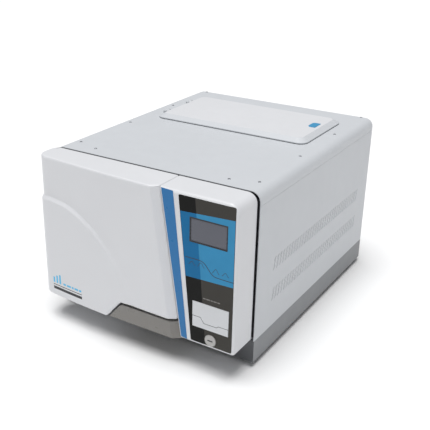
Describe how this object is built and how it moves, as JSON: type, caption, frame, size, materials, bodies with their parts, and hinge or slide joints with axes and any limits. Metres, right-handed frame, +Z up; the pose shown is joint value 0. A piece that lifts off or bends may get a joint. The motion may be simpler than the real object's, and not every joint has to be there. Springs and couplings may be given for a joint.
{
  "type": "benchtop autoclave",
  "caption": "Front-loading benchtop steam steriliser with a round stainless chamber behind a left-hinged door, a slim control panel with a printer and a water reservoir lid on top.",
  "frame": {"origin": "on the table, at the centre of the machine's footprint", "axes": "+X to the right seen from the front, +Y to the rear, +Z up; the door and the panel face -Y"},
  "size_m": [0.49, 0.697, 0.3886],
  "materials": {
    "case_paint": "fine satin powder coat",
    "base_paint": "dark grey powder coat",
    "white_plastic": "smooth semi-gloss lacquer",
    "skirt_plastic": "warm grey fine texture",
    "panel_black": "gloss",
    "trim_blue": "gloss",
    "display": "gloss",
    "printer_plastic": "satin",
    "button_plastic": "satin",
    "circuit_board": "solder mask",
    "paper": "thermal paper",
    "rubber": "matte",
    "silicone": "smooth silicone",
    "stainless": "brushed",
    "plated_steel": "zinc plated",
    "motor_metal": "cast",
    "copper": "drawn copper tube",
    "brass": "turned",
    "felt": "felt",
    "tank_plastic": "milky moulded plastic",
    "black_plastic": "moulded",
    "filter_plastic": "moulded"
  },
  "bodies": {
    "case": {"top_cover": "case_paint", "left_side_panel": "case_paint", "right_side_panel": "case_paint", "rear_panel": "case_paint", "base_tray": "base_paint", "front_bulkhead": "base_paint", "control_housing": "white_plastic", "front_skirt": "skirt_plastic", "control_overlay": "panel_black", "blue_trim_strip": "trim_blue", "lcd_screen": "display", "printer_body": "printer_plastic", "control_board": "circuit_board", "power_board": "circuit_board", "rubber_feet": "rubber", "chamber": "stainless", "chamber_flange": "stainless", "tray_rack": "stainless", "tray_1": "stainless", "tray_2": "stainless", "tray_3": "stainless", "steam_generator": "stainless", "tank_strainer": "stainless", "chassis_frame": "plated_steel", "hinge_brackets": "plated_steel", "hinge_pins": "plated_steel", "casing_screws": "plated_steel", "lid_hinges": "plated_steel", "fan_guard": "plated_steel", "vacuum_pump": "motor_metal", "lock_actuator": "motor_metal", "condenser": "motor_metal", "heater_bands": "motor_metal", "steam_pipes": "copper", "safety_valve": "brass", "drain_valves": "brass", "insulation_jacket": "felt", "water_tank": "tank_plastic", "waste_tank": "tank_plastic", "reservoir_basin": "tank_plastic", "fan_frame": "black_plastic", "power_entry": "black_plastic", "feed_pump_and_valves": "black_plastic", "bacteria_filter": "filter_plastic"},
    "door": {"door_cover": "white_plastic", "door_frame": "plated_steel", "door_liner": "white_plastic", "pressure_plate": "stainless", "door_gasket": "silicone"},
    "lid": {"reservoir_lid": "white_plastic", "lid_finger_tab": "trim_blue"},
    "flap": {"printer_flap": "printer_plastic"},
    "button": {"start_button": "button_plastic"},
    "bolt": {"lock_bolt": "plated_steel"},
    "fan": {"fan_rotor": "black_plastic"},
    "rocker": {"power_rocker": "black_plastic"},
    "valve_pull": {"valve_pull_ring": "plated_steel"},
    "lever_clean": {"drain_lever_clean": "black_plastic"},
    "lever_waste": {"drain_lever_waste": "black_plastic"},
    "roll": {"paper_roll": "paper"}
  },
  "joints": [
    {"name": "door_hinge", "type": "hinge", "parent": "case", "child": "door", "pos_m": [-0.228, -0.2925, 0.2245], "axis": [0, 0, -1], "range_deg": [0, 105]},
    {"name": "lid_hinge", "type": "hinge", "parent": "case", "child": "lid", "pos_m": [-0.1945, 0.1275, 0.3802], "axis": [0, -1, 0], "range_deg": [0, 100]},
    {"name": "printer_flap_hinge", "type": "hinge", "parent": "case", "child": "flap", "pos_m": [0.189, -0.3411, 0.109], "axis": [1, 0, 0], "range_deg": [0, 80]},
    {"name": "start_button_press", "type": "slide", "parent": "case", "child": "button", "axis": [0, 1, 0], "range_m": [0, 0.003], "stiffness_N_per_m": 300},
    {"name": "lock_bolt_slide", "type": "slide", "parent": "case", "child": "bolt", "axis": [-1, 0, 0], "range_m": [0, 0.01]},
    {"name": "fan_spin", "type": "hinge", "parent": "case", "child": "fan", "pos_m": [0.15, 0.3005, 0.267], "axis": [0, 1, 0], "continuous": true},
    {"name": "power_rocker_tilt", "type": "hinge", "parent": "case", "child": "rocker", "pos_m": [0.15, 0.3165, 0.104], "axis": [-1, 0, 0], "range_deg": [0, 16]},
    {"name": "relief_valve_lift", "type": "slide", "parent": "case", "child": "valve_pull", "axis": [0, 1, 0], "range_m": [0, 0.003], "stiffness_N_per_m": 800},
    {"name": "drain_lever_clean_turn", "type": "hinge", "parent": "case", "child": "lever_clean", "pos_m": [-0.2, 0.3285, 0.115], "axis": [0, 0, 1], "range_deg": [0, 90]},
    {"name": "drain_lever_waste_turn", "type": "hinge", "parent": "case", "child": "lever_waste", "pos_m": [-0.14, 0.3285, 0.115], "axis": [0, 0, 1], "range_deg": [0, 90]},
    {"name": "paper_roll_turn", "type": "hinge", "parent": "case", "child": "roll", "pos_m": [0.189, -0.3195, 0.134], "axis": [1, 0, 0], "continuous": true}
  ]
}
